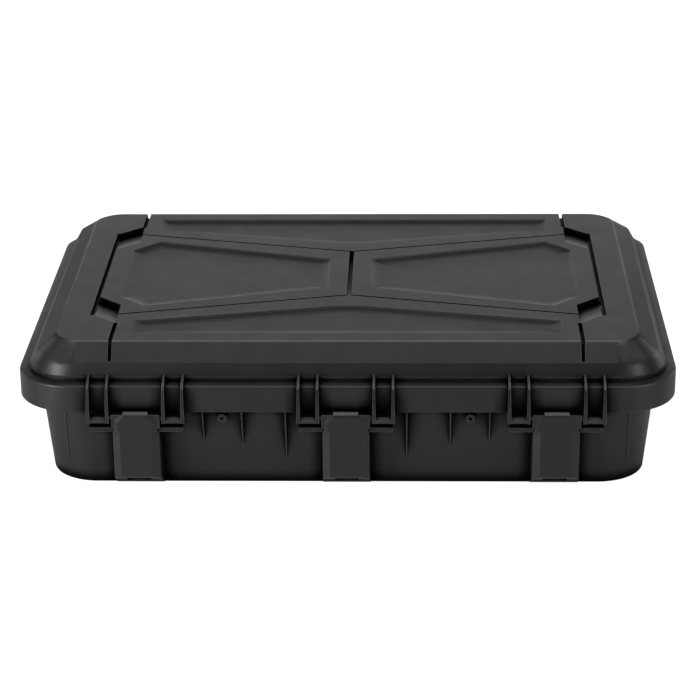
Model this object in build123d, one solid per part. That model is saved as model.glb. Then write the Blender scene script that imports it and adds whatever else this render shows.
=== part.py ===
from build123d import *
import math
import os

# Waterproof hard case, in millimetres. X runs along the hinge, the hinge side faces -Y and Z is up.
# The origin is on the floor, below the middle of the case.

# The case, seen from above
rim_length = 822.2
rim_depth = 560.0
rim_radius = 73.5
rim_back_radius = 45.0
base_inset_x = 35.7
base_inset_y = 24.5
base_radius = 62.0
base_radius_growth_share = 0.05
base_lean_share = 0.095
base_edge_round = 1.5

# Heights, stacked from the floor
base_height = 105.4
skirt_height = 35.0
ledge_rise = 1.6
lip_height = 5.2
lower_bevel_height = 15.8
upper_bevel_height = 22.5

# Walls and running room
wall = 3.5
floor_thickness = 4.0
running_gap = 0.3
pin_gap = 0.05
overrun = 2.0

half_length = rim_length / 2
half_depth = rim_depth / 2
skirt_bottom = base_height
rim_edge = skirt_bottom + skirt_height
ledge_top = rim_edge + ledge_rise
lip_top = ledge_top + lip_height
knee = lip_top + lower_bevel_height
case_height = knee + upper_bevel_height

# Lid profile, as insets from the rim
skirt_lead = 0.8
skirt_lead_height = 1.0
rim_round = 3.0
ledge_inset = 12.0
lip_lean = 0.2
lip_flat = 1.4
knee_inset_x = 22.5
knee_inset_y = 20.0
plane_inset_x = 48.2
plane_inset_y = 39.0
plane_edge_round = 1.6
plane_back_radius = 36.0

# Seal: base tongue, lid land with its groove, rubber ring
flange_inset = 5.0
flange_thickness = 5.0
skirt_overlap = 12.6
tongue_inset = 15.5
tongue_thickness = 2.5
tongue_height = 4.0
land_inset = 12.0
land_width = 10.0
land_height = 9.0
groove_inset = 14.0
groove_width = 5.5
groove_depth = 6.0

flange_top = skirt_bottom + skirt_overlap
land_bottom = flange_top + tongue_height

# Lid top: recesses, as shares of the half length and half depth of the top plane
recess_depth = 4.2
recess_wall_run = 20.0
recess_run_shares = (0.12, 0.3, 0.55, 0.8, 1.0)
recess_drop_shares = (0.3, 0.6, 0.85, 0.96, 1.0)
groove_cut_depth = 6.0
groove_cut_width = 3.5
side_groove_width = 5.4
side_pocket_shares = ((0.075, 0.225), (0.724, 0.508), (0.82, 0.362))
long_pocket_shares = ((0.743, 0.7), (0.039, 0.483))
long_pocket_edge_share = 0.895
seam_half_width = 3.1
seam_end_share = 0.343
seam_shallow = 2.0
seam_depth = 9.5
well_side_shares = (0.804, 0.894)
well_near_shares = (0.496, 0.373)
well_far_shares = (0.763, 0.635)
well_depth = 9.0
step_width = 1.5
bevel_slot_width = 4.6
bevel_slot_depth = 6.4
bevel_slot_low_share = 0.13

# Hinge: three units, each with a base column and two pairs of lid ribs on a steel pin
hinge_share = 0.63
hinge_reach = 13.0
hinge_axis_reach = 6.5
hinge_axis_drop = 5.4
hinge_pin_radius = 2.5
hinge_pin_half_length = 61.0
knuckle_half_width = 29.8
knuckle_height = 17.8
knuckle_top_rise = 6.9
knuckle_set_back = 1.1
knuckle_depth = 10.5
head_front = ((21.8, -16.0), (21.8, -4.0), (18.5, 1.6), (12.5, 3.6))
head_back = ((26.5, -16.0), (26.5, -2.0), (22.0, 4.4), (15.1, 6.9))
tongue_half_width = 15.1
tongue_rise = 9.6
tongue_run = 3.2
tongue_length = 6.0
column_half_widths = (20.0, 28.6, 30.0)
column_chamfer = 4.5
column_foot_height = 23.4
column_core_half_width = 15.0
column_core_wall = 5.0
arm_half_length = 58.0
arm_thickness = 5.6
arm_drop = 11.0
arm_set_back = 4.0
arm_knob_radius = 3.2
arm_knob_place = 53.4
rib_places = (34.7, 58.2)
rib_top_width = 2.4
rib_bottom_width = 4.7
rib_top_rise = 50.0
rib_shoulder_rise = 18.0
rib_neck_rise = 39.0
rib_crook_rise = 45.0
rib_foot_drop = 4.0
web_front_drop = (1.0, 3.6)
web_crown_rise = 3.0
web_crown_reach = 4.0
web_back_rise = 5.0
notch_half_width = 31.5
notch_height = 5.4
pair_notch_height = 3.6

# Stiffening under the rim
gusset_shares = (0.1824, 0.3138, 0.4315)
gusset_feet = (24.0, 45.0, 52.0)
gusset_widths = (2.0, 1.6, 1.5)
gusset_foot_width = 1.0
gusset_top_gap = 0.8
corner_rib_distance = 60.0
corner_rib_height = 0.7
corner_rib_foot = 30.0
corner_rib_width = 2.2
gusset_reach = 1.0
boss_share = 0.3734
boss_radius = 5.6
boss_hole_radius = 2.2
boss_hole_depth = 9.0
boss_drop = 10.6
boss_reach = 10.0

# Latches: base ears, lever, hook and their pins, over a ledge on the lid
latch_inner_share = 0.3649
latch_corner_distance = 121.1
latch_reach = 13.0
lever_axis_reach = 4.0
lever_axis_drop = 13.4
lever_half_width = 30.0
lever_plate = 3.4
lever_cheek = 4.0
lever_length = 52.0
lever_plate_height = 30.0
lever_hub_radius = 6.0
latch_pin_radius = 2.0
hook_axis_reach = 5.5
hook_axis_drop = 12.0
hook_half_width = 25.0
hook_barrel_radius = 4.0
hook_plate = 2.6
claw_thickness = 3.2
claw_tip_reach = 0.6
catch_rise = 21.6
catch_thickness = 3.0
catch_reach = 5.5
catch_half_width = 28.0
ear_gap = 0.4
ear_thickness = 4.0
ear_foot_drop = 18.0
ear_top_rise = 12.0

# Carry handle
handle_half_width = 84.0
handle_arm_width = 12.0
handle_arm_depth = 10.0
handle_hub_radius = 7.5
handle_axis_inset = 8.0
handle_axis_drop = 15.4
handle_length = 48.0
handle_bar_radius = 5.0
grip_radius = 10.0
handle_pin_radius = 3.0
handle_ear_thickness = 5.0
handle_ear_half_height = 12.0
handle_ear_gap = 0.4

# Padlock tabs and pressure valve
tab_half_width = 10.0
tab_thickness = 5.0
tab_gap = 0.3
tab_hole_radius = 4.0
tab_hole_reach = 6.5
valve_drop = 45.4
valve_pad_radius = 17.0
valve_cap_radius = 15.0
valve_cap_height = 5.0
valve_stem_radius = 8.0
valve_seal_thickness = 1.5
valve_stem_inside = 3.0
valve_slot_width = 2.5

# Foam
base_foam_height = 30.0
base_foam_gap = 3.0
lid_foam_depth = 29.0
lid_foam_gap = 9.5
lid_foam_radius = 30.0

hinge_axis_y = -half_depth - hinge_axis_reach
hinge_axis_z = skirt_bottom - hinge_axis_drop
hinge_front = -half_depth - hinge_reach
hinge_places = [-half_length * hinge_share, 0, half_length * hinge_share]
latch_inner_x = half_length * latch_inner_share
latch_outer_x = half_length - latch_corner_distance
latch_places = [-latch_outer_x, -latch_inner_x, latch_inner_x, latch_outer_x]
tab_x = (latch_inner_x + latch_outer_x) / 2
lever_axis_y = half_depth + lever_axis_reach
lever_axis_z = skirt_bottom - lever_axis_drop
hook_axis_y = half_depth + hook_axis_reach
hook_axis_z = lever_axis_z - hook_axis_drop
latch_front = half_depth + latch_reach
catch_top = skirt_bottom + catch_rise
handle_axis_y = half_depth - handle_axis_inset
handle_axis_z = skirt_bottom - handle_axis_drop
plane_half_x = half_length - plane_inset_x
plane_half_y = half_depth - plane_inset_y
root_depth = base_radius / 4


# General shapes

def level_face(half_x, half_y, radius, z):
    return Pos(0, 0, z) * RectangleRounded(2 * half_x, 2 * half_y, radius)


def rim_face(inset_x, inset_y, z, back_radius=None):
    """A level face inside the rim's outline, whose corners are tighter at the back."""
    inset = (inset_x + inset_y) / 2
    if back_radius is None:
        back_radius = rim_back_radius - inset
    outline = Rectangle(2 * (half_length - inset_x), 2 * (half_depth - inset_y))
    outline = fillet(outline.vertices().group_by(Axis.Y)[0], rim_radius - inset)
    return Pos(0, 0, z) * fillet(outline.vertices().group_by(Axis.Y)[-1], back_radius)


def rim_prism(inset, z_low, z_high):
    return loft([rim_face(inset, inset, z_low), rim_face(inset, inset, z_high)], ruled=True)


def rim_ring(inset, width, z_low, z_high):
    return rim_prism(inset, z_low, z_high) - rim_prism(inset + width, z_low, z_high)


def base_face(inset, z):
    half_x = half_length - base_inset_x + base_lean_share * z - inset
    half_y = half_depth - base_inset_y + base_lean_share * z - inset
    return level_face(half_x, half_y, base_radius + base_radius_growth_share * z - inset, z)


def wall_y(z):
    """How far out the outside of the base's long walls lies at height z."""
    return half_depth - base_inset_y + base_lean_share * z


def block(x_limits, y_limits, z_limits):
    limits = (x_limits, y_limits, z_limits)
    sizes = [high - low for low, high in limits]
    middles = [(high + low) / 2 for low, high in limits]
    return Pos(*middles) * Box(*sizes)


def side_prism(points, x_low, x_high):
    """Along X, with an outline of (y, z) points."""
    outline = Plane.YZ.offset(x_low) * Polygon(*points, align=None)
    return extrude(outline, x_high - x_low, dir=(1, 0, 0))


def front_prism(points, y_low, y_high):
    """Along Y, with an outline of (x, z) points."""
    outline = Plane.XZ.offset(-y_low) * Polygon(*points, align=None)
    return extrude(outline, y_high - y_low, dir=(0, 1, 0))


def plan_prism(points, z_low, z_high):
    """Along Z, with an outline of (x, y) points."""
    outline = Plane.XY.offset(z_low) * Polygon(*points, align=None)
    return extrude(outline, z_high - z_low, dir=(0, 0, 1))


def mirrored(points):
    """The points, then their mirror images across the first axis's zero, in reverse."""
    return points + [(-across, along) for across, along in reversed(points)]


def rod_x(radius, x_low, x_high, y, z):
    middle = (x_low + x_high) / 2
    return Pos(middle, y, z) * Rot(0, 90, 0) * Cylinder(radius, x_high - x_low)


def rod_y(radius, y_low, y_high, x, z):
    middle = (y_low + y_high) / 2
    return Pos(x, middle, z) * Rot(90, 0, 0) * Cylinder(radius, y_high - y_low)


def domed_pin(radius, x_low, x_high, y, z):
    """A pin along X with a small chamfer at both ends."""
    pin = rod_x(radius, x_low, x_high, y, z)
    return chamfer(pin.edges().filter_by(GeomType.CIRCLE), radius / 4)


# Lid

def lid_outside():
    faces = [rim_face(skirt_lead, skirt_lead, skirt_bottom)]
    faces.append(rim_face(0, 0, skirt_bottom + skirt_lead_height))
    for angle in (0, 30, 60, 90):
        inset = rim_round * (1 - math.cos(math.radians(angle)))
        drop = rim_round * (1 - math.sin(math.radians(angle)))
        faces.append(rim_face(inset, inset, rim_edge - drop))
    faces.append(rim_face(ledge_inset, ledge_inset, ledge_top))
    lip_inset = ledge_inset + lip_lean
    faces.append(rim_face(lip_inset, lip_inset, lip_top))
    flat_inset = lip_inset + lip_flat
    faces.append(rim_face(flat_inset, flat_inset, lip_top + lip_lean))
    faces.append(rim_face(knee_inset_x, knee_inset_y, knee))
    share = plane_edge_round / upper_bevel_height
    edge_x = plane_inset_x - (plane_inset_x - knee_inset_x) * share
    edge_y = plane_inset_y - (plane_inset_y - knee_inset_y) * share
    faces.append(rim_face(edge_x, edge_y, case_height - plane_edge_round, plane_back_radius))
    top_insets = (plane_inset_x + plane_edge_round, plane_inset_y + plane_edge_round)
    faces.append(rim_face(*top_insets, case_height, plane_back_radius - plane_edge_round))
    return loft(faces, ruled=True)


def inside_of(low, high, z):
    """Inset of a wall's inside at height z, where its outside runs from low to high, each (inset, z)."""
    run = high[0] - low[0]
    rise = high[1] - low[1]
    return low[0] + (z - low[1]) * run / rise + wall * math.hypot(run, rise) / rise


def dome_cavity():
    """The space inside the lid, above the land that carries the seal."""
    lip_inset = ledge_inset + lip_lean + lip_flat
    lip_inside = ledge_inset + lip_lean + wall
    land_inside = land_inset + land_width
    land_top = land_bottom + land_height
    ceiling = case_height - wall
    inner_knee = knee - wall * lower_bevel_height / upper_bevel_height
    knee_insets = [
        inside_of((lip_inset, lip_top), (inset, knee), inner_knee)
        for inset in (knee_inset_x, knee_inset_y)
    ]
    top_insets = [
        inside_of((low, knee), (high, case_height), ceiling)
        for low, high in ((knee_inset_x, plane_inset_x), (knee_inset_y, plane_inset_y))
    ]
    faces = [
        rim_face(land_inside, land_inside, land_bottom - overrun),
        rim_face(land_inside, land_inside, land_top),
        rim_face(lip_inside, lip_inside, land_top + wall),
        rim_face(lip_inside, lip_inside, lip_top),
        rim_face(*knee_insets, inner_knee),
        rim_face(*top_insets, ceiling, plane_back_radius - wall),
    ]
    return loft(faces, ruled=True)


def on_plane(shares):
    return (plane_half_x * shares[0], plane_half_y * shares[1])


def pocket_outlines():
    """The four wide, shallow recesses of the lid's top."""
    corners = [on_plane(shares) for shares in side_pocket_shares]
    side = corners + [(x, -y) for x, y in reversed(corners)]
    shoulder, nose = [on_plane(shares) for shares in long_pocket_shares]
    edge = plane_half_y * long_pocket_edge_share
    long_side = mirrored([nose, shoulder, (shoulder[0], edge)])
    outlines = [side, [(-x, y) for x, y in reversed(side)]]
    outlines += [long_side, [(x, -y) for x, y in reversed(long_side)]]
    return outlines


def well_corners(x_sign, y_sign):
    """Near inner, near outer, far inner and far outer corner of a ramped well; far is towards the rim."""
    inner, outer = [plane_half_x * share * x_sign for share in well_side_shares]
    near = [plane_half_y * share * y_sign for share in well_near_shares]
    far = [plane_half_y * share * y_sign for share in well_far_shares]
    return (inner, near[0]), (outer, near[1]), (inner, far[0]), (outer, far[1])


def groove_lines():
    """Centre line and width of each straight groove that parts the lid's panels."""
    seam_end = plane_half_y * seam_end_share
    lines = []
    for x_sign in (-1, 1):
        near_wells = []
        for y_sign in (-1, 1):
            near_inner, near_outer, far_inner, far_outer = well_corners(x_sign, y_sign)
            middle = (near_inner[0], (near_inner[1] + far_inner[1]) / 2)
            lines.append((((0, seam_end * y_sign), middle), groove_cut_width))
            edge = (far_inner[0], (plane_half_y + plane_edge_round) * y_sign)
            lines.append(((far_inner, edge), side_groove_width))
            near_wells.append(far_outer)
        lines.append((tuple(near_wells), side_groove_width))
    return lines


def strip(line, width):
    """A flat strip along a line, with half round ends."""
    (x_start, y_start), (x_end, y_end) = line
    length = math.hypot(x_end - x_start, y_end - y_start)
    turn = math.degrees(math.atan2(y_end - y_start, x_end - x_start))
    middle = Pos((x_start + x_end) / 2, (y_start + y_end) / 2)
    return middle * Rot(0, 0, turn) * SlotCenterToCenter(length, width)


def shallow_recesses():
    """The pockets with soft sloped walls, and the straight grooves."""
    cutters = []
    for outline in pocket_outlines():
        rim = Polygon(*outline, align=None)
        faces = [Pos(0, 0, z) * rim for z in (case_height + overrun, case_height)]
        for run, drop in zip(recess_run_shares, recess_drop_shares):
            level = offset(rim, -recess_wall_run * run, kind=Kind.INTERSECTION)
            faces.append(Pos(0, 0, case_height - recess_depth * drop) * level)
        cutters.append(loft(faces, ruled=True))
    for line, width in groove_lines():
        groove = Pos(0, 0, case_height - groove_cut_depth) * strip(line, width)
        cutters.append(extrude(groove, groove_cut_depth + overrun, dir=(0, 0, 1)))
    return cutters


def ramp_outline(y_shallow, y_deep, shallow, deep):
    """A ramped floor with a small step halfway up its end wall, as (y, z) points."""
    step = math.copysign(step_width, y_deep - y_shallow)
    return [
        (y_shallow, case_height + overrun),
        (y_deep + step, case_height + overrun),
        (y_deep + step, case_height - deep / 2),
        (y_deep, case_height - deep / 2),
        (y_deep, case_height - deep),
        (y_shallow, case_height - shallow),
    ]


def ramped_recesses():
    """The four wells and the centre seam, each deepest at its +Y end."""
    cutters = []
    for x_sign in (-1, 1):
        for y_sign in (-1, 1):
            near_inner, near_outer, far_inner, far_outer = well_corners(x_sign, y_sign)
            faces = []
            for near, far in ((near_inner, far_inner), (near_outer, far_outer)):
                low, high = sorted((near[1], far[1]))
                outline = Polygon(*ramp_outline(low, high, 0, well_depth), align=None)
                faces.append(Plane.YZ.offset(near[0]) * outline)
            cutters.append(loft(faces, ruled=True))
    seam_end = plane_half_y * seam_end_share
    outline = ramp_outline(-seam_end, seam_end, seam_shallow, seam_depth)
    cutters.append(side_prism(outline, -seam_half_width, seam_half_width))
    return cutters


def bevel_slot(x_sign, y_sign, margin):
    """A round-ended slot in the upper bevel, or the thicker backing behind it where margin is set."""
    x = plane_half_x * well_side_shares[0] * x_sign
    run = plane_inset_y - knee_inset_y
    slope_length = math.hypot(run, upper_bevel_height)
    low = bevel_slot_low_share
    foot = (half_depth - knee_inset_y - run * low, knee + upper_bevel_height * low)
    normal = (0, y_sign * upper_bevel_height / slope_length, run / slope_length)
    place = Plane(origin=(x, y_sign * foot[0], foot[1]), x_dir=(1, 0, 0), z_dir=normal)
    length = slope_length * (1 - low)
    upward = -y_sign
    outline = Rot(0, 0, 90) * SlotCenterToCenter(length, bevel_slot_width + 2 * margin)
    slot = place * Pos(0, upward * length / 2) * outline
    depth = bevel_slot_depth + margin
    if margin > 0:
        return extrude(slot, -depth)
    return extrude(slot, -depth) + extrude(slot, overrun)


def cavity_islands():
    """Thicker places under the recesses, so that the wall keeps its thickness there."""
    shallow_floor = case_height - groove_cut_depth - wall
    rims = [Polygon(*outline, align=None) for outline in pocket_outlines()]
    shapes = [offset(rim, wall, kind=Kind.INTERSECTION) for rim in rims]
    shapes += [strip(line, width + 2 * wall) for line, width in groove_lines()]
    island_height = groove_cut_depth + wall
    feet = [Pos(0, 0, shallow_floor) * shape for shape in shapes]
    islands = [extrude(foot, island_height, dir=(0, 0, 1)) for foot in feet]
    deep_floor = case_height - well_depth - wall
    for x_sign in (-1, 1):
        for y_sign in (-1, 1):
            near_inner, near_outer, far_inner, far_outer = well_corners(x_sign, y_sign)
            well = Polygon(near_inner, near_outer, far_outer, far_inner, align=None)
            outline = Pos(0, 0, deep_floor) * offset(well, wall + step_width, kind=Kind.INTERSECTION)
            islands.append(extrude(outline, well_depth + wall, dir=(0, 0, 1)))
            islands.append(bevel_slot(x_sign, y_sign, wall))
    seam_half = plane_half_y * seam_end_share + wall + step_width
    seam_limits = (case_height - seam_depth - wall, case_height)
    island_half = seam_half_width + wall
    islands.append(block((-island_half, island_half), (-seam_half, seam_half), seam_limits))
    return islands


def lid_hinge_ribs(centre_x):
    """Two pairs of ribs with a web between the ribs of each pair."""
    skirt_inside = -half_depth + wall
    lip_y = -half_depth + ledge_inset + wall / 2
    side = [
        (lip_y, hinge_axis_z + rib_top_rise),
        (-half_depth, hinge_axis_z + rib_crook_rise),
        (hinge_front + hinge_axis_reach, hinge_axis_z + rib_neck_rise),
        (hinge_front, hinge_axis_z + rib_shoulder_rise),
        (hinge_front, hinge_axis_z - rib_foot_drop),
        (skirt_inside - rib_foot_drop, hinge_axis_z - rib_foot_drop),
        (skirt_inside, skirt_bottom),
        (skirt_inside, rim_edge - wall),
        (lip_y, ledge_top),
    ]
    low = hinge_axis_z - rib_foot_drop
    high = hinge_axis_z + rib_top_rise
    bottom_half = rib_bottom_width / 2
    top_half = rib_top_width / 2
    pieces = []
    for side_sign in (-1, 1):
        for place in rib_places:
            x = centre_x + side_sign * place
            front = [(x - bottom_half, low), (x + bottom_half, low)]
            front += [(x + top_half, high), (x - top_half, high)]
            blank = side_prism(side, x - bottom_half, x + bottom_half)
            pieces.append(blank & front_prism(front, hinge_front - overrun, lip_y + overrun))
        web = [
            (-half_depth - overrun, hinge_axis_z + web_back_rise),
            (hinge_front + web_crown_reach, hinge_axis_z + web_crown_rise),
            (hinge_front, hinge_axis_z - web_front_drop[0]),
            (hinge_front, hinge_axis_z - web_front_drop[1]),
            (skirt_inside - rib_foot_drop, hinge_axis_z - web_front_drop[1]),
        ]
        limits = sorted(centre_x + side_sign * place for place in rib_places)
        pieces.append(side_prism(web, *limits))
    return pieces


def skirt_notches(centre_x):
    """Openings in the skirt's lower edge for the base's knuckle, and between the ribs of each pair."""
    y_limits = (-half_depth - overrun, -half_depth + wall + overrun)
    z_low = skirt_bottom - overrun
    notches = [block((centre_x - notch_half_width, centre_x + notch_half_width), y_limits,
                     (z_low, skirt_bottom + notch_height))]
    for side_sign in (-1, 1):
        limits = sorted(centre_x + side_sign * place for place in rib_places)
        notches.append(block(limits, y_limits, (z_low, skirt_bottom + pair_notch_height)))
    return notches


def padlock_tab(x_sign, z_low, back_y):
    x_limits = (tab_x * x_sign - tab_half_width, tab_x * x_sign + tab_half_width)
    plate = block(x_limits, (back_y, latch_front), (z_low, z_low + tab_thickness))
    corners = plate.edges().filter_by(Axis.Z).group_by(Axis.Y)[-1]
    return fillet(corners, tab_half_width / 2)


def tab_hole(x_sign):
    z_low = skirt_bottom - tab_gap - tab_thickness - overrun
    height = 2 * tab_thickness + tab_gap + 2 * overrun
    place = Pos(tab_x * x_sign, half_depth + tab_hole_reach, z_low + height / 2)
    return place * Cylinder(tab_hole_radius, height)


def lid_shell():
    shell = lid_outside()
    shell -= rim_prism(wall, skirt_bottom - overrun, land_bottom)
    shell -= rim_ring(wall, land_inset - wall, land_bottom - overrun, rim_edge - wall)
    shell -= rim_ring(groove_inset, groove_width, land_bottom - overrun, land_bottom + groove_depth)
    shell -= dome_cavity() - cavity_islands()
    shell -= shallow_recesses()
    shell -= ramped_recesses()
    shell -= [bevel_slot(x_sign, y_sign, 0) for x_sign in (-1, 1) for y_sign in (-1, 1)]
    notches = []
    ribs = []
    bores = []
    for centre_x in hinge_places:
        notches += skirt_notches(centre_x)
        ribs += lid_hinge_ribs(centre_x)
        limits = (centre_x - hinge_pin_half_length - overrun, centre_x + hinge_pin_half_length + overrun)
        bores.append(rod_x(hinge_pin_radius + pin_gap, *limits, hinge_axis_y, hinge_axis_z))
    shell -= notches
    shell += ribs
    skirt_inside = half_depth - wall
    catch_y = (skirt_inside, half_depth + catch_reach)
    for x in latch_places:
        catch_x = (x - catch_half_width, x + catch_half_width)
        shell += block(catch_x, catch_y, (catch_top - catch_thickness, catch_top))
    shell += [padlock_tab(x_sign, skirt_bottom, skirt_inside) for x_sign in (-1, 1)]
    shell -= bores + [tab_hole(x_sign) for x_sign in (-1, 1)]
    return shell


# Base

def hinge_head(centre_x, back):
    """The front of a knuckle: a low arch that runs out softly, and a short tongue on top."""
    middle = hinge_front + knuckle_set_back
    outlines = []
    for half in (head_front, head_back):
        outline = mirrored([(x, hinge_axis_z + rise) for x, rise in half])
        outlines.append([(centre_x + x, z) for x, z in outline])
    planes = [Plane.XZ.offset(-y) for y in (hinge_front, middle)]
    faces = [plane * Polygon(*outline, align=None) for plane, outline in zip(planes, outlines)]
    top = hinge_axis_z + knuckle_top_rise
    tongue = [
        (middle, top),
        (middle + tongue_run, hinge_axis_z + tongue_rise),
        (middle + tongue_length, hinge_axis_z + tongue_rise),
        (middle + tongue_length, top - wall),
        (middle, top - wall),
    ]
    tongue_solid = side_prism(tongue, centre_x - tongue_half_width, centre_x + tongue_half_width)
    return loft(faces, ruled=True) + front_prism(outlines[1], middle, back) + tongue_solid


def hinge_column(centre_x):
    """A buttress under the hinge with a knuckle on top and a level arm to each side."""
    column_back = -half_depth + base_inset_y
    wall_at_top = -wall_y(skirt_bottom) + wall / 2
    column_top = hinge_axis_z + head_front[1][1]
    side = [
        (wall_at_top, column_top),
        (hinge_front, column_top),
        (hinge_front, column_foot_height),
        (column_back - running_gap, 0),
        (column_back + wall / 2, 0),
    ]
    widths = column_half_widths
    plan = mirrored([
        (widths[0], hinge_front),
        (widths[1], hinge_front + column_chamfer),
        (widths[2], column_back),
        (widths[2], column_back + wall),
    ])
    plan = [(centre_x + x, y) for x, y in plan]
    column = side_prism(side, centre_x - widths[2], centre_x + widths[2])
    column &= plan_prism(plan, 0, skirt_bottom)
    top = hinge_axis_z + knuckle_top_rise
    back = hinge_front + knuckle_set_back + knuckle_depth
    knuckle = block((centre_x - knuckle_half_width, centre_x + knuckle_half_width),
                    (hinge_front + knuckle_set_back, back), (top - knuckle_height, top))
    arm_top = hinge_axis_z - arm_drop
    arm_front = hinge_front + arm_set_back
    arm = block((centre_x - arm_half_length, centre_x + arm_half_length),
                (arm_front, -wall_y(arm_top) + wall / 2), (arm_top - arm_thickness, arm_top))
    knobs = []
    for side_sign in (-1, 1):
        x = centre_x + side_sign * arm_knob_place
        knobs.append(rod_y(arm_knob_radius, arm_front - knuckle_set_back / 2, arm_front + arm_thickness,
                           x, arm_top - arm_thickness / 2))
    return [column, hinge_head(centre_x, back), knuckle, arm] + knobs


def column_core(centre_x):
    """The hollow of a buttress, open at its slanted underside."""
    x_limits = (centre_x - column_core_half_width, centre_x + column_core_half_width)
    y_limits = (hinge_front + column_core_wall, -wall_y(skirt_bottom) - wall / 2)
    core_top = hinge_axis_z - arm_drop - arm_thickness - column_core_wall
    return block(x_limits, y_limits, (-overrun, core_top))


def gussets():
    flange_edge = -half_depth + flange_inset + gusset_reach / 2
    rib_levels = (corner_rib_foot, flange_top - flange_thickness / 2)
    low_skin = loft([base_face(-corner_rib_height, z) for z in rib_levels], ruled=True)
    pieces = []
    for x_sign in (-1, 1):
        rib_x = (half_length - corner_rib_distance) * x_sign
        rib_limits = (rib_x - corner_rib_width / 2, rib_x + corner_rib_width / 2)
        pieces.append(low_skin & block(rib_limits, (-half_depth, -root_depth), rib_levels))
        for share, foot, width in zip(gusset_shares, gusset_feet, gusset_widths):
            outline = [
                (-wall_y(flange_top) + root_depth, flange_top - flange_thickness / 2),
                (flange_edge, flange_top - flange_thickness / 2),
                (flange_edge, skirt_bottom - gusset_top_gap),
                (-half_depth + gusset_reach, skirt_bottom - gusset_top_gap),
                (-wall_y(foot) + wall / 2, foot),
                (-wall_y(foot) + root_depth, foot),
            ]
            x = half_length * share * x_sign
            front = [(x + gusset_foot_width / 2, foot), (x + width / 2, flange_top)]
            front += [(2 * x - edge, z) for edge, z in reversed(front)]
            blank = side_prism(outline, x - width / 2, x + width / 2)
            pieces.append(blank & front_prism(front, -half_depth - overrun, 0))
        z = skirt_bottom - boss_drop
        x = half_length * boss_share * x_sign
        boss = rod_y(boss_radius, -wall_y(z) - boss_reach, -wall_y(z) + wall / 2, x, z)
        hole_end = -wall_y(z) - boss_reach + boss_hole_depth
        pieces.append(boss - rod_y(boss_hole_radius, -wall_y(z) - boss_reach - overrun, hole_end, x, z))
    return pieces


def latch_ears(centre_x):
    back = wall_y(skirt_bottom) - root_depth
    foot = lever_axis_z - ear_foot_drop
    hub = lever_hub_radius
    outline = [
        (back, foot),
        (wall_y(foot) - wall / 2, foot),
        (lever_axis_y - hub / 3, lever_axis_z - hub),
        (lever_axis_y + hub, lever_axis_z - hub * 2 / 3),
        (lever_axis_y + hub, lever_axis_z + hub * 2 / 3),
        (lever_axis_y + hub / 3, lever_axis_z + hub),
        (wall_y(skirt_bottom) - wall / 2, lever_axis_z + ear_top_rise),
        (back, lever_axis_z + ear_top_rise),
    ]
    inner = lever_half_width + ear_gap
    ears = []
    for side_sign in (-1, 1):
        limits = sorted(centre_x + side_sign * reach for reach in (inner, inner + ear_thickness))
        ears.append(side_prism(outline, *limits))
    return ears


def handle_ears():
    """Two plates on each side for an arm of the handle."""
    inner_gap = handle_half_width - handle_arm_width - handle_ear_gap - handle_ear_thickness
    outer_gap = handle_half_width + handle_ear_gap
    z_limits = (handle_axis_z - handle_ear_half_height, handle_axis_z + handle_ear_half_height)
    back = wall_y(z_limits[0]) - root_depth
    ears = []
    for x_sign in (-1, 1):
        for reach in (inner_gap, outer_gap):
            limits = sorted(x_sign * edge for edge in (reach, reach + handle_ear_thickness))
            ear = block(limits, (back, half_depth), z_limits)
            front = ear.edges().filter_by(Axis.X).group_by(Axis.Y)[-1]
            ears.append(fillet(front, handle_hub_radius))
    return ears


def valve_face():
    return wall_y(skirt_bottom - valve_drop) + wall / 2


def base_shell():
    edge_faces = []
    for angle in (0, 45, 90):
        inset = base_edge_round * (1 - math.sin(math.radians(angle)))
        edge_faces.append(base_face(inset, base_edge_round * (1 - math.cos(math.radians(angle)))))
    shell = loft(edge_faces + [base_face(0, flange_top)], ruled=True)
    shell += rim_prism(flange_inset, flange_top - flange_thickness, flange_top)
    additions = gussets() + handle_ears()
    bores = []
    for centre_x in hinge_places:
        additions += hinge_column(centre_x)
        limits = (centre_x - knuckle_half_width - overrun, centre_x + knuckle_half_width + overrun)
        bores.append(rod_x(hinge_pin_radius + pin_gap, *limits, hinge_axis_y, hinge_axis_z))
    for x in latch_places:
        additions += latch_ears(x)
        reach = lever_half_width + ear_gap + ear_thickness + overrun
        bores.append(rod_x(latch_pin_radius + pin_gap, x - reach, x + reach, lever_axis_y, lever_axis_z))
    tab_bottom = skirt_bottom - tab_gap - tab_thickness
    tab_back = wall_y(tab_bottom) - root_depth
    additions += [padlock_tab(x_sign, tab_bottom, tab_back) for x_sign in (-1, 1)]
    valve_z = skirt_bottom - valve_drop
    additions.append(rod_y(valve_pad_radius, wall_y(valve_z) - root_depth, valve_face(), tab_x, valve_z))
    shell += additions
    shell -= loft([base_face(wall, floor_thickness), base_face(wall, flange_top + overrun)], ruled=True)
    shell += rim_ring(tongue_inset, tongue_thickness, flange_top - overrun, flange_top + tongue_height)
    for x_sign in (-1, 1):
        reach = handle_half_width + handle_ear_gap + handle_ear_thickness
        inner = handle_half_width - handle_arm_width - handle_ear_gap - handle_ear_thickness
        limits = sorted((x_sign * (inner - overrun), x_sign * (reach + overrun)))
        bores.append(rod_x(handle_pin_radius + pin_gap, *limits, handle_axis_y, handle_axis_z))
    bores.append(rod_y(valve_stem_radius + pin_gap, wall_y(valve_z) - root_depth, valve_face() + overrun,
                       tab_x, valve_z))
    shell -= bores + [tab_hole(x_sign) for x_sign in (-1, 1)]
    shell -= [column_core(centre_x) for centre_x in hinge_places]
    return shell


# Seal and foam

def lid_gasket():
    width = groove_width - 2 * running_gap
    z_limits = (land_bottom + running_gap, land_bottom + groove_depth)
    return rim_ring(groove_inset + running_gap, width, *z_limits)


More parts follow.
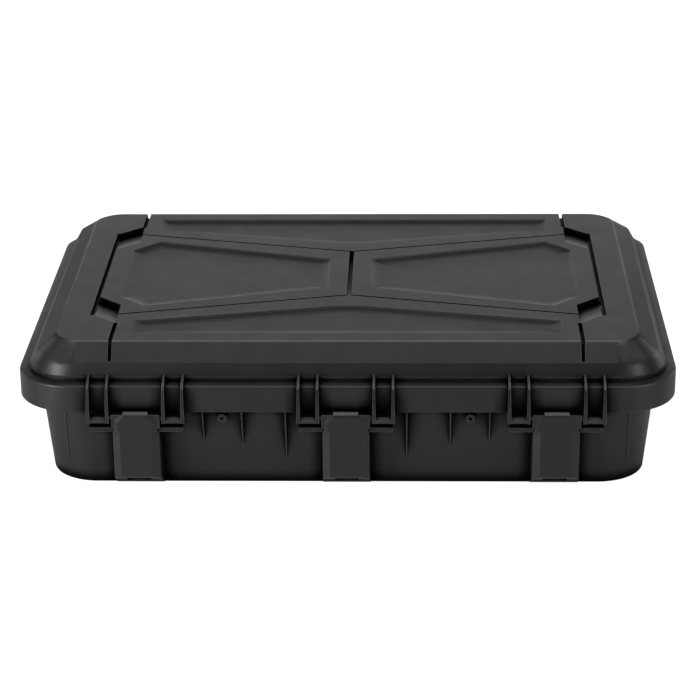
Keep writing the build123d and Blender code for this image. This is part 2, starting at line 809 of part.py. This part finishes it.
def base_foam():
    top = floor_thickness + base_foam_height
    inset = wall + base_foam_gap
    return loft([base_face(inset, floor_thickness), base_face(inset, top)], ruled=True)


def lid_foam():
    """A pad that fills the lid, up against the backs of its deepest recesses."""
    top = case_height - max(seam_depth, well_depth) - wall
    insets = []
    for low, high in ((knee_inset_x, plane_inset_x), (knee_inset_y, plane_inset_y)):
        insets.append(inside_of((low, knee), (high, case_height), top) + lid_foam_gap)
    half_sizes = (half_length - insets[0], half_depth - insets[1])
    faces = [level_face(*half_sizes, lid_foam_radius, z) for z in (top - lid_foam_depth, top)]
    return loft(faces, ruled=True)


# Hinge pins

def hinge_pin(centre_x):
    limits = (centre_x - hinge_pin_half_length, centre_x + hinge_pin_half_length)
    return domed_pin(hinge_pin_radius, *limits, hinge_axis_y, hinge_axis_z)


# Latches

def latch_lever(centre_x):
    plate_low = lever_axis_z - lever_length
    plate_high = plate_low + lever_plate_height
    plate_back = latch_front - lever_plate
    hub = lever_hub_radius
    cheek = [
        (latch_front, plate_low),
        (latch_front, plate_high),
        (lever_axis_y + hub, lever_axis_z - hub / 3),
        (lever_axis_y, lever_axis_z),
        (lever_axis_y - hub, lever_axis_z),
        (hook_axis_y - hook_barrel_radius, hook_axis_z - hook_barrel_radius / 2),
        (plate_back, plate_high - lever_plate_height / 3),
        (plate_back, plate_low),
    ]
    plate_limits = (centre_x - lever_half_width, centre_x + lever_half_width)
    lever = block(plate_limits, (plate_back, latch_front), (plate_low, plate_high))
    bores = []
    for side_sign in (-1, 1):
        limits = sorted(centre_x + side_sign * (lever_half_width - edge) for edge in (0, lever_cheek))
        lever += side_prism(cheek, *limits)
        lever += rod_x(hub, *limits, lever_axis_y, lever_axis_z)
    reach = (plate_limits[0] - overrun, plate_limits[1] + overrun)
    bores.append(rod_x(latch_pin_radius + pin_gap, *reach, lever_axis_y, lever_axis_z))
    bores.append(rod_x(latch_pin_radius + pin_gap, *reach, hook_axis_y, hook_axis_z))
    lever -= bores
    low_corners = lever.edges().filter_by(Axis.Y).group_by(Axis.Z)[0]
    return fillet(low_corners, lever_plate)


def latch_hook(centre_x):
    limits = (centre_x - hook_half_width, centre_x + hook_half_width)
    back = half_depth + latch_reach - lever_plate - running_gap - 2 * pin_gap - hook_plate
    front = back + hook_plate
    claw_low = catch_top + running_gap
    claw_high = claw_low + claw_thickness
    tip = half_depth + claw_tip_reach
    outline = [
        (back, hook_axis_z),
        (front, hook_axis_z),
        (front, claw_high),
        (tip, claw_high),
        (tip, claw_low),
        (back, claw_low),
    ]
    hook = side_prism(outline, *limits)
    outer_edge = hook.edges().filter_by(Axis.X).group_by(Axis.Z)[-1].sort_by(Axis.Y)[-1]
    hook = fillet(outer_edge, hook_plate)
    hook += rod_x(hook_barrel_radius, *limits, hook_axis_y, hook_axis_z)
    reach = (limits[0] - overrun, limits[1] + overrun)
    return hook - rod_x(latch_pin_radius + pin_gap, *reach, hook_axis_y, hook_axis_z)


def lever_pin(centre_x):
    reach = lever_half_width + ear_gap + ear_thickness
    return domed_pin(latch_pin_radius, centre_x - reach, centre_x + reach, lever_axis_y, lever_axis_z)


def hook_pin(centre_x):
    reach = lever_half_width
    return domed_pin(latch_pin_radius, centre_x - reach, centre_x + reach, hook_axis_y, hook_axis_z)


# Carry handle

def carry_handle():
    low = handle_axis_z - handle_length
    arm_y = (handle_axis_y - handle_arm_depth / 2, handle_axis_y + handle_arm_depth / 2)
    arm_edges = (handle_half_width - handle_arm_width, handle_half_width)
    handle = rod_x(handle_bar_radius, -handle_half_width, handle_half_width, handle_axis_y, low)
    for x_sign in (-1, 1):
        limits = sorted(x_sign * edge for edge in arm_edges)
        handle += block(limits, arm_y, (low, handle_axis_z))
        handle += rod_x(handle_hub_radius, *limits, handle_axis_y, handle_axis_z)
        handle += rod_x(handle_hub_radius, *limits, handle_axis_y, low)
        reach = (limits[0] - overrun, limits[1] + overrun)
        handle -= rod_x(handle_pin_radius + pin_gap, *reach, handle_axis_y, handle_axis_z)
    return handle


def handle_grip():
    """A soft sleeve round the bar, from arm to arm, slightly fuller in the middle."""
    half = handle_half_width - handle_arm_width
    low = handle_axis_z - handle_length
    sleeve = rod_x(grip_radius, -half, half, handle_axis_y, low)
    sleeve = fillet(sleeve.edges().filter_by(GeomType.CIRCLE), grip_radius / 4)
    reach = half + overrun
    return sleeve - rod_x(handle_bar_radius + pin_gap, -reach, reach, handle_axis_y, low)


def handle_pin(x_sign):
    inner = handle_half_width - handle_arm_width - handle_ear_gap - handle_ear_thickness
    outer = handle_half_width + handle_ear_gap + handle_ear_thickness
    limits = sorted((x_sign * inner, x_sign * outer))
    return domed_pin(handle_pin_radius, *limits, handle_axis_y, handle_axis_z)


# Pressure valve

def valve_seal():
    z = skirt_bottom - valve_drop
    low = valve_face()
    high = low + valve_seal_thickness
    ring = rod_y(valve_cap_radius - valve_seal_thickness, low, high, tab_x, z)
    return ring - rod_y(valve_stem_radius + pin_gap, low - overrun, high + overrun, tab_x, z)


def valve_body():
    z = skirt_bottom - valve_drop
    cap_low = valve_face() + valve_seal_thickness
    cap = rod_y(valve_cap_radius, cap_low, cap_low + valve_cap_height, tab_x, z)
    cap = fillet(cap.edges().filter_by(GeomType.CIRCLE).group_by(Axis.Y)[-1], valve_cap_height / 3)
    stem = rod_y(valve_stem_radius, wall_y(z) - wall - valve_stem_inside, cap_low, tab_x, z)
    slot_x = (tab_x - valve_cap_radius, tab_x + valve_cap_radius)
    slot_y = (cap_low + valve_cap_height / 2, cap_low + 2 * valve_cap_height)
    slot_z = (z - valve_slot_width / 2, z + valve_slot_width / 2)
    return cap + stem - block(slot_x, slot_y, slot_z)


# Every piece, by name

def pieces():
    found = {
        "base_shell": base_shell(),
        "lid_shell": lid_shell(),
        "lid_gasket": lid_gasket(),
        "base_foam": base_foam(),
        "lid_foam": lid_foam(),
        "carry_handle": carry_handle(),
        "handle_grip": handle_grip(),
        "handle_pin_left": handle_pin(-1),
        "handle_pin_right": handle_pin(1),
        "valve_body": valve_body(),
        "valve_seal": valve_seal(),
    }
    for name, centre_x in zip(("left", "centre", "right"), hinge_places):
        found[f"hinge_pin_{name}"] = hinge_pin(centre_x)
    for number, centre_x in enumerate(latch_places, start=1):
        found[f"latch_lever_{number}"] = latch_lever(centre_x)
        found[f"latch_hook_{number}"] = latch_hook(centre_x)
        found[f"lever_pin_{number}"] = lever_pin(centre_x)
        found[f"hook_pin_{number}"] = hook_pin(centre_x)
    return found


os.makedirs("parts", exist_ok=True)
for name, piece in pieces().items():
    export_step(piece, f"parts/{name}.step")
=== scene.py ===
import math
import bpy
from mathutils import Matrix, Vector


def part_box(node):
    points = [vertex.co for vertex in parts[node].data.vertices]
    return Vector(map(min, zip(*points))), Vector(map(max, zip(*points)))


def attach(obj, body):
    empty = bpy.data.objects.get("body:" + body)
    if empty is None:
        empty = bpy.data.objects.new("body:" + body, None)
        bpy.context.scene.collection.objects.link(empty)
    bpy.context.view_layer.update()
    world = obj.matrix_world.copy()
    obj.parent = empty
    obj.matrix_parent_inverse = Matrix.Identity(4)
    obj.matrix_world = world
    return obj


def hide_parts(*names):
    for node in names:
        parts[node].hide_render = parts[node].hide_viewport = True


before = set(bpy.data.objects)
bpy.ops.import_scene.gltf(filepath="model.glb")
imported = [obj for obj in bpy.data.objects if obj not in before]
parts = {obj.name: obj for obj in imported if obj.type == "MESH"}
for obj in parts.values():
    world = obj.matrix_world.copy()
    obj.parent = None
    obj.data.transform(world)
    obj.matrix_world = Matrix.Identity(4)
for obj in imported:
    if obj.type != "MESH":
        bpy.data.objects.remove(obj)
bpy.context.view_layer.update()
scene = bpy.context.scene
print("frame loaded with", len(parts), "parts")


# Small helpers for materials

noiseEnds = (0.3, 0.7)  # most values of a noise texture lie between these
rampEnds = (0.35, 0.65)


def newMaterial(name):
    material = bpy.data.materials.new(name)
    material.use_nodes = True
    tree = material.node_tree
    return material, tree, tree.nodes["Principled BSDF"]


def addNode(tree, kind, **values):
    node = tree.nodes.new(kind)
    for key, value in values.items():
        if key in node.inputs:
            node.inputs[key].default_value = value
        else:
            setattr(node, key, value)
    return node


def objectCoordinates(tree):
    return addNode(tree, "ShaderNodeTexCoord").outputs["Object"]


def noise(tree, scale, detail, roughness=0.5):
    node = addNode(tree, "ShaderNodeTexNoise", Scale=scale, Detail=detail, Roughness=roughness)
    tree.links.new(objectCoordinates(tree), node.inputs["Vector"])
    return node.outputs["Fac"]


def mapped(tree, source, ends, results):
    node = addNode(tree, "ShaderNodeMapRange")
    node.inputs["From Min"].default_value = ends[0]
    node.inputs["From Max"].default_value = ends[1]
    node.inputs["To Min"].default_value = results[0]
    node.inputs["To Max"].default_value = results[1]
    tree.links.new(source, node.inputs["Value"])
    return node.outputs["Result"]


def colourBetween(tree, source, dark, light):
    node = addNode(tree, "ShaderNodeValToRGB")
    for element, position, colour in zip(node.color_ramp.elements, rampEnds, (dark, light)):
        element.position = position
        element.color = (*colour, 1)
    tree.links.new(source, node.inputs["Fac"])
    return node.outputs["Color"]


def blendColours(tree, mode, factor, first, second):
    node = addNode(tree, "ShaderNodeMixRGB", blend_type=mode)
    for socket, value in zip(node.inputs, (factor, first, second)):
        if isinstance(value, (float, tuple)):
            socket.default_value = value
        else:
            tree.links.new(value, socket)
    return node.outputs["Color"]


def addBump(tree, shader, source, strength, distance):
    # A second bump goes on top of the first one
    node = addNode(tree, "ShaderNodeBump", Strength=strength, Distance=distance)
    tree.links.new(source, node.inputs["Height"])
    if shader.inputs["Normal"].is_linked:
        tree.links.new(shader.inputs["Normal"].links[0].from_socket, node.inputs["Normal"])
    tree.links.new(node.outputs["Normal"], shader.inputs["Normal"])


# What all moulded surfaces share: fine grain over slow waves, a painted highlight on edges, painted
# shade in creases

moulded = {
    "cloudScale": 35,
    "cloudDetail": 4,
    "grainDetail": 3,
    "grainRoughness": 0.6,
    "grainStrength": 0.35,
    "waveDetail": 1,
    "waveStrength": 0.10,
    "gloss": 0.5,
    "creaseSamples": 6,
    "edgeSamples": 4,
    "edgeTurn": (0.96, 0.8),  # cosines at which the painted edge highlight starts and is full
}

casePlastic = {
    "dark": (0.0085, 0.0085, 0.009),
    "light": (0.012, 0.012, 0.0125),
    "roughness": (0.37, 0.43),
    "grainScale": 900,
    "grainDepth": 0.00006,
    "waveScale": 10,
    "waveDepth": 0.0003,
    # Painted highlight colour on edges
    "edgeHighlightColour": (0.13, 0.13, 0.134, 1),
    "edgeReach": 0.0009,
    # Painted shade in creases: reach, ends and darkest value
    "creaseReach": 0.019,
    "creaseEnds": (0.65, 0.94),
    "creaseShade": 0.05,
}

# Latches and handle are cast from a slightly smoother nylon
nylon = {
    "dark": (0.008, 0.008, 0.0085),
    "light": (0.012, 0.012, 0.0125),
    "roughness": (0.3, 0.36),
    "grainScale": 1200,
    "grainDepth": 0.00004,
    "waveScale": 20,
    "waveDepth": 0.0002,
    # Painted highlight colour on edges
    "edgeHighlightColour": (0.045, 0.045, 0.047, 1),
    "edgeReach": 0.0008,
    # Painted shade in creases: reach, ends and darkest value
    "creaseReach": 0.008,
    "creaseEnds": (0.3, 0.9),
    "creaseShade": 0.2,
}

rubber = {
    "dark": (0.008, 0.008, 0.008),
    "light": (0.012, 0.012, 0.012),
    "roughness": (0.68, 0.8),
    "grainScale": 700,
    "grainDepth": 0.00005,
    "waveScale": 30,
    "waveDepth": 0.0003,
    # Painted highlight colour on edges
    "edgeHighlightColour": (0.025, 0.025, 0.026, 1),
    "edgeReach": 0.0008,
    # Painted shade in creases: reach, ends and darkest value
    "creaseReach": 0.008,
    "creaseEnds": (0.3, 0.9),
    "creaseShade": 0.3,
}


def paintedEdgeHighlight(tree, reach):
    # Painted highlight mask: one where two faces meet, where the colour is painted lighter as if the
    # edge caught light, and zero on open faces
    rounded = addNode(tree, "ShaderNodeBevel", Radius=reach, samples=moulded["edgeSamples"])
    surface = addNode(tree, "ShaderNodeNewGeometry")
    turn = addNode(tree, "ShaderNodeVectorMath", operation="DOT_PRODUCT")
    tree.links.new(rounded.outputs["Normal"], turn.inputs[0])
    tree.links.new(surface.outputs["Normal"], turn.inputs[1])
    return mapped(tree, turn.outputs["Value"], moulded["edgeTurn"], (0, 1))


def paintedShadeOpenness(tree, look):
    # Painted shade from ambient occlusion: one on open faces, down to the crease shade deep in a crease
    crease = addNode(tree, "ShaderNodeAmbientOcclusion", Distance=look["creaseReach"],
                     samples=moulded["creaseSamples"])
    return mapped(tree, crease.outputs["AO"], look["creaseEnds"], (look["creaseShade"], 1))


def makeMoulded(name, look):
    material, tree, shader = newMaterial(name)
    cloud = noise(tree, moulded["cloudScale"], moulded["cloudDetail"])
    grain = noise(tree, look["grainScale"], moulded["grainDetail"], moulded["grainRoughness"])
    wave = noise(tree, look["waveScale"], moulded["waveDetail"])
    paintedShadeFactor = paintedShadeOpenness(tree, look)
    colour = colourBetween(tree, grain, look["dark"], look["light"])
    # Painted highlight: edges are painted a lighter colour, as if they caught light
    colour = blendColours(tree, "MIX", paintedEdgeHighlight(tree, look["edgeReach"]), colour, look["edgeHighlightColour"])
    # Painted shade: the colour is darkened in creases, recesses and between parts
    colour = blendColours(tree, "MULTIPLY", 1.0, colour, paintedShadeFactor)
    tree.links.new(colour, shader.inputs["Base Color"])
    tree.links.new(mapped(tree, cloud, noiseEnds, look["roughness"]), shader.inputs["Roughness"])
    # Painted shade on the specular level too: it drops in creases
    gloss = addNode(tree, "ShaderNodeMath", operation="MULTIPLY")
    gloss.inputs[1].default_value = moulded["gloss"]
    tree.links.new(paintedShadeFactor, gloss.inputs[0])
    tree.links.new(gloss.outputs["Value"], shader.inputs["Specular IOR Level"])
    addBump(tree, shader, wave, moulded["waveStrength"], look["waveDepth"])
    addBump(tree, shader, grain, moulded["grainStrength"], look["grainDepth"])
    return material


# Pins: bright steel, and black steel in the hinges, both brushed along their length

brushing = {
    "scale": 260,
    "stretch": (0.08, 1, 1),
    "detail": 3,
    "strength": 0.2,
    "depth": 0.00003,
}

steel = {
    "colour": (0.55, 0.55, 0.56, 1),
    "metallic": 1.0,
    "roughness": (0.24, 0.4),
}

blackSteel = {
    "colour": (0.018, 0.018, 0.019, 1),
    "metallic": 0.0,
    "roughness": (0.35, 0.5),
}


def makeSteel(name, look):
    material, tree, shader = newMaterial(name)
    shader.inputs["Base Color"].default_value = look["colour"]
    shader.inputs["Metallic"].default_value = look["metallic"]
    stretch = addNode(tree, "ShaderNodeMapping", Scale=brushing["stretch"])
    tree.links.new(objectCoordinates(tree), stretch.inputs["Vector"])
    brushed = addNode(tree, "ShaderNodeTexNoise", Scale=brushing["scale"], Detail=brushing["detail"])
    tree.links.new(stretch.outputs["Vector"], brushed.inputs["Vector"])
    lines = brushed.outputs["Fac"]
    tree.links.new(mapped(tree, lines, noiseEnds, look["roughness"]), shader.inputs["Roughness"])
    addBump(tree, shader, lines, brushing["strength"], brushing["depth"])
    return material


foamLook = {
    "dark": (0.026, 0.026, 0.028),
    "light": (0.056, 0.056, 0.059),
    "roughness": 0.95,
    "gloss": 0.25,
    "sheen": 0.15,
    "cellScale": 900,
    "cellStrength": 0.5,
    "cellDepth": 0.0005,
}


def makeFoamMaterial(look):
    material, tree, shader = newMaterial("openCellFoam")
    cells = addNode(tree, "ShaderNodeTexVoronoi", Scale=look["cellScale"])
    tree.links.new(objectCoordinates(tree), cells.inputs["Vector"])
    distance = cells.outputs["Distance"]
    colour = colourBetween(tree, distance, look["dark"], look["light"])
    tree.links.new(colour, shader.inputs["Base Color"])
    shader.inputs["Roughness"].default_value = look["roughness"]
    shader.inputs["Specular IOR Level"].default_value = look["gloss"]
    shader.inputs["Sheen Weight"].default_value = look["sheen"]
    addBump(tree, shader, distance, look["cellStrength"], look["cellDepth"])
    return material


plasticMaterial = makeMoulded("mouldedCasePlastic", casePlastic)
nylonMaterial = makeMoulded("latchNylon", nylon)
rubberMaterial = makeMoulded("sealRubber", rubber)
steelMaterial = makeSteel("pinSteel", steel)
blackSteelMaterial = makeSteel("pinBlackSteel", blackSteel)
foamMaterial = makeFoamMaterial(foamLook)
print("materials made")


# Every rigid part keeps its shape and gets a finish, and all but the pins get softened edges

edgeSoftening = {
    "case": 0.0006,
    "fittings": 0.0004,
    "angle": math.radians(28),
    "segments": 2,
    "weld": 0.00001,
}


def softenEdges(part, width):
    weld = part.modifiers.new("weld", "WELD")
    weld.merge_threshold = edgeSoftening["weld"]
    bevel = part.modifiers.new("softEdges", "BEVEL")
    bevel.width = width
    bevel.segments = edgeSoftening["segments"]
    bevel.limit_method = "ANGLE"
    bevel.angle_limit = edgeSoftening["angle"]
    bevel.miter_outer = "MITER_ARC"
    normals = part.modifiers.new("evenNormals", "WEIGHTED_NORMAL")
    normals.keep_sharp = True


finishes = [
    (("base_shell", "lid_shell"), plasticMaterial, "case"),
    (("latch_lever", "latch_hook", "carry_handle", "valve_body"), nylonMaterial, "fittings"),
    (("lid_gasket", "valve_seal", "handle_grip"), rubberMaterial, "fittings"),
    (("lever_pin", "hook_pin", "handle_pin"), steelMaterial, None),
    (("hinge_pin",), blackSteelMaterial, None),
]

for starts, material, softness in finishes:
    for name, part in parts.items():
        if name.startswith(starts):
            part.data.materials.clear()
            part.data.materials.append(material)
            if softness:
                softenEdges(part, edgeSoftening[softness])
print("rigid parts finished")


# Foam: a scored block in the base, an egg-crate pad in the lid

baseFoam = {
    "pitch": 0.020,
    "scoreWidth": 0.0012,
    "scoreDepth": 0.004,
    "cornerRadius": 0.058,
    "edgeRound": 0.003,
    "edgeReach": 0.001,
}

lidFoam = {
    "pitch": 0.036,
    "wave": 0.008,
    "step": 0.0045,
    "cornerRadius": 0.030,
    "edgeReach": 0.012,
}

padRimAngle = math.radians(50)  # faces that meet at more than this show a crisp edge


def cornerShift(x, y, halfX, halfY, radius):
    # Pulls a point of a rectangle's grid in so that the rectangle gets round corners
    overX = abs(x) - (halfX - radius)
    overY = abs(y) - (halfY - radius)
    if overX <= 0 or overY <= 0:
        return x, y
    factor = max(overX, overY) / math.hypot(overX, overY)
    newX = math.copysign(halfX - radius + overX * factor, x)
    newY = math.copysign(halfY - radius + overY * factor, y)
    return newX, newY


def gridSteps(half, pitch, narrow):
    # Lines across one direction: the edges, and three lines at each score
    count = max(1, round(2 * half / pitch))
    lines = [-half]
    for number in range(1, count):
        middle = -half + 2 * half * number / count
        lines += [middle - narrow, middle, middle + narrow]
    return lines + [half]


def scoreBottoms(lines):
    # The middle one of each three lines at a score
    return set(lines[2::3])


def evenSteps(half, step):
    count = round(2 * half / step)
    return [-half + 2 * half * number / count for number in range(count + 1)]


def closedPad(name, xLines, yLines, topHeight, bottomHeight, shape):
    # A closed block from two grids and a side band; the heights are functions of x and y
    halfX = xLines[-1]
    halfY = yLines[-1]
    columns = len(xLines)
    rows = len(yLines)
    vertices = []
    for height in (topHeight, bottomHeight):
        for y in yLines:
            for x in xLines:
                newX, newY = cornerShift(x, y, halfX, halfY, shape["cornerRadius"])
                vertices.append((newX, newY, height(x, y)))
    layer = columns * rows
    faces = []
    for row in range(rows - 1):
        for column in range(columns - 1):
            start = row * columns + column
            quad = (start, start + 1, start + columns + 1, start + columns)
            faces.append(quad)
            faces.append(tuple(layer + corner for corner in reversed(quad)))
    rim = list(range(columns))
    rim += [row * columns + columns - 1 for row in range(1, rows)]
    rim += [(rows - 1) * columns + column for column in range(columns - 2, -1, -1)]
    rim += [row * columns for row in range(rows - 2, 0, -1)]
    for first, second in zip(rim, rim[1:] + rim[:1]):
        faces.append((second, first, layer + first, layer + second))
    mesh = bpy.data.meshes.new(name)
    mesh.from_pydata(vertices, [], faces)
    mesh.validate()
    for polygon in mesh.polygons:
        polygon.use_smooth = True
    piece = bpy.data.objects.new(name, mesh)
    scene.collection.objects.link(piece)
    piece.data.materials.append(foamMaterial)
    split = piece.modifiers.new("crispRim", "EDGE_SPLIT")
    split.split_angle = padRimAngle
    return piece


def edgeDistance(x, y, halfX, halfY):
    return min(halfX - abs(x), halfY - abs(y))


def makeBaseFoam():
    low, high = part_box("base_foam")
    narrow = baseFoam["scoreWidth"] / 2
    xLines = gridSteps(high.x, baseFoam["pitch"], narrow)
    yLines = gridSteps(high.y, baseFoam["pitch"], narrow)
    scoresX = scoreBottoms(xLines)
    scoresY = scoreBottoms(yLines)

    def top(x, y):
        if edgeDistance(x, y, high.x, high.y) < baseFoam["edgeReach"]:
            return high.z - baseFoam["edgeRound"]
        scored = x in scoresX or y in scoresY
        return high.z - (baseFoam["scoreDepth"] if scored else 0)

    return closedPad("baseFoamScored", xLines, yLines, top, lambda x, y: low.z, baseFoam)


def makeLidFoam():
    low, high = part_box("lid_foam")
    xLines = evenSteps(high.x, lidFoam["step"])
    yLines = evenSteps(high.y, lidFoam["step"])
    turn = math.pi / lidFoam["pitch"]

    def bottom(x, y):
        wave = math.cos(x * turn) * math.cos(y * turn)
        fade = min(1, edgeDistance(x, y, high.x, high.y) / lidFoam["edgeReach"])
        return low.z + lidFoam["wave"] * (1 + wave * fade)

    return closedPad("lidFoamEggCrate", xLines, yLines, lambda x, y: high.z, bottom, lidFoam)


for makePad, node, body in ((makeBaseFoam, "base_foam", "base"), (makeLidFoam, "lid_foam", "lid")):
    pad = makePad()
    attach(pad, body)
    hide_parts(node)
print("foam pads made")


# Camera, fitted to the photograph

cameraSetup = {
    "place": (0.0791, -2.9857, 1.2905),
    "down": math.radians(22.10),
    "left": math.radians(1.53),
    "roll": math.radians(-0.54),
    "lens": 124.14,
    "sensor": 36,
    "shift": (-0.0039, -0.0002),
    "farthest": 50,
}


def placeCamera():
    data = bpy.data.cameras.new("camera")
    data.sensor_width = cameraSetup["sensor"]
    data.lens = cameraSetup["lens"]
    data.shift_x, data.shift_y = cameraSetup["shift"]
    data.clip_end = cameraSetup["farthest"]
    camera = bpy.data.objects.new("camera", data)
    turn = Matrix.Rotation(cameraSetup["left"], 4, "Z")
    tilt = Matrix.Rotation(math.pi / 2 - cameraSetup["down"], 4, "X")
    roll = Matrix.Rotation(cameraSetup["roll"], 4, "Z")
    camera.matrix_world = Matrix.Translation(cameraSetup["place"]) @ turn @ tilt @ roll
    scene.collection.objects.link(camera)
    scene.camera = camera


placeCamera()
print("camera placed")


# White studio: the surround and the floor glow white for the camera and hardly light the case,
# which the soft lamps do

studio = {
    "surround": 0.0,
    "floorReach": 30,
    "floorDrop": 0.0005,
    "floorGlow": (0.92, 1.0),
    "glowDistances": (1.0, 3.5),
    "floorBounce": 0.12,
    "floorColour": (0.4, 0.4, 0.4, 1),
    "floorRoughness": 0.9,
    "aim": (0, 0, 0.1),
    "lamps": {
        "overhead": {"place": (0, -0.3, 2.6), "size": (3.0, 1.6), "power": 53},
        "behind": {"place": (0, 3.4, 1.5), "size": (3.9, 1.4), "power": 11},
        "behindLow": {"place": (0, 3.6, 0.35), "size": (3.5, 0.6), "power": 10},
        "leftFront": {"place": (-2.3, -2.0, 0.5), "size": (1.2, 0.9), "power": 76},
        "rightFront": {"place": (2.3, -2.0, 0.5), "size": (1.2, 0.9), "power": 26},
        "leftBack": {"place": (-2.7, 1.6, 0.7), "size": (1.2, 1.0), "power": 6},
        "rightBack": {"place": (2.7, 1.6, 0.7), "size": (1.2, 1.0), "power": 9},
        "leftHigh": {"place": (-2.3, -0.4, 1.9), "size": (1.2, 1.0), "power": 3},
        "rightHigh": {"place": (2.3, -0.4, 1.9), "size": (1.2, 1.0), "power": 4},
    },
}


def makeWorld():
    # White to the camera and through clear parts, and as bright as "surround" to everything else
    world = bpy.data.worlds.new("surround")
    scene.world = world
    world.use_nodes = True
    tree = world.node_tree
    background = tree.nodes["Background"]
    background.inputs["Color"].default_value = (1, 1, 1, 1)
    rays = addNode(tree, "ShaderNodeLightPath")
    seen = addNode(tree, "ShaderNodeMath", operation="MAXIMUM")
    tree.links.new(rays.outputs["Is Camera Ray"], seen.inputs[0])
    tree.links.new(rays.outputs["Is Transmission Ray"], seen.inputs[1])
    strength = mapped(tree, seen.outputs["Value"], (0, 1), (studio["surround"], 1))
    tree.links.new(strength, background.inputs["Strength"])


def makeFloor():
    # The glow grows with the distance, so that the floor's far edge doesn't show
    mesh = bpy.data.meshes.new("floor")
    reach = studio["floorReach"]
    corners = [(-reach, -reach, 0), (reach, -reach, 0), (reach, reach, 0), (-reach, reach, 0)]
    mesh.from_pydata(corners, [], [(0, 1, 2, 3)])
    floor = bpy.data.objects.new("floor", mesh)
    floor.location.z = -studio["floorDrop"]
    scene.collection.objects.link(floor)
    material, tree, shader = newMaterial("floorWhite")
    shader.inputs["Base Color"].default_value = studio["floorColour"]
    shader.inputs["Roughness"].default_value = studio["floorRoughness"]
    shader.inputs["Specular IOR Level"].default_value = 0
    rays = addNode(tree, "ShaderNodeLightPath")
    distance = addNode(tree, "ShaderNodeVectorMath", operation="LENGTH")
    tree.links.new(objectCoordinates(tree), distance.inputs[0])
    seenGlow = mapped(tree, distance.outputs["Value"], studio["glowDistances"], studio["floorGlow"])
    glow = addNode(tree, "ShaderNodeMix")
    glow.inputs["A"].default_value = studio["floorBounce"]
    tree.links.new(rays.outputs["Is Camera Ray"], glow.inputs["Factor"])
    tree.links.new(seenGlow, glow.inputs["B"])
    shader.inputs["Emission Color"].default_value = (1, 1, 1, 1)
    tree.links.new(glow.outputs["Result"], shader.inputs["Emission Strength"])
    floor.data.materials.append(material)


def addLamp(name, setup):
    data = bpy.data.lights.new(name, "AREA")
    data.shape = "RECTANGLE"
    data.size, data.size_y = setup["size"]
    data.energy = setup["power"]
    lamp = bpy.data.objects.new(name, data)
    direction = Vector(studio["aim"]) - Vector(setup["place"])
    lamp.location = setup["place"]
    lamp.rotation_euler = direction.to_track_quat("-Z", "Y").to_euler()
    scene.collection.objects.link(lamp)


makeWorld()
makeFloor()
for lampName, lampSetup in studio["lamps"].items():
    addLamp(lampName, lampSetup)
scene.view_settings.view_transform = "Standard"
print("studio ready")
